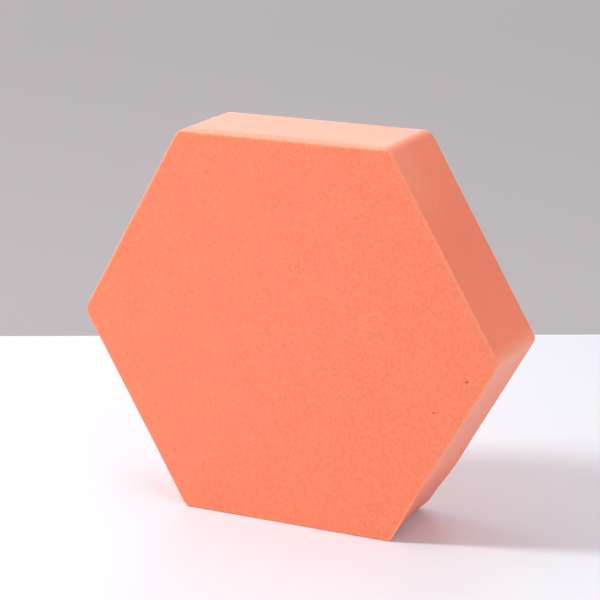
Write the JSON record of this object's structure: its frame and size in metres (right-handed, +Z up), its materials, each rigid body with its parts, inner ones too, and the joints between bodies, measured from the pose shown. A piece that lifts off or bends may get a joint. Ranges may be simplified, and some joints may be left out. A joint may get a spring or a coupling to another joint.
{
  "type": "hexagonal foam practice pad",
  "caption": "Free-standing regular hexagonal pad of dense fine-celled foam: a thick core with a thin flush sheet on each face.",
  "frame": {"origin": "middle of the bounding box's bottom face, at table level, under the centre of the pad", "axes": "+Z up, from the resting side to the opposite side; +Y from the front face to the rear face; +X to the right as seen from the front, from corner to corner"},
  "size_m": [0.2288, 0.05, 0.2],
  "materials": {
    "face_foam": "matt closed-cell foam skin in coral orange, with a fine speckle of cells",
    "core_foam": "matt cut closed-cell foam in coral orange, smoother than the faces"
  },
  "bodies": {
    "root": {"front_sheet": "face_foam", "core_block": "core_foam", "rear_sheet": "face_foam"}
  },
  "joints": []
}
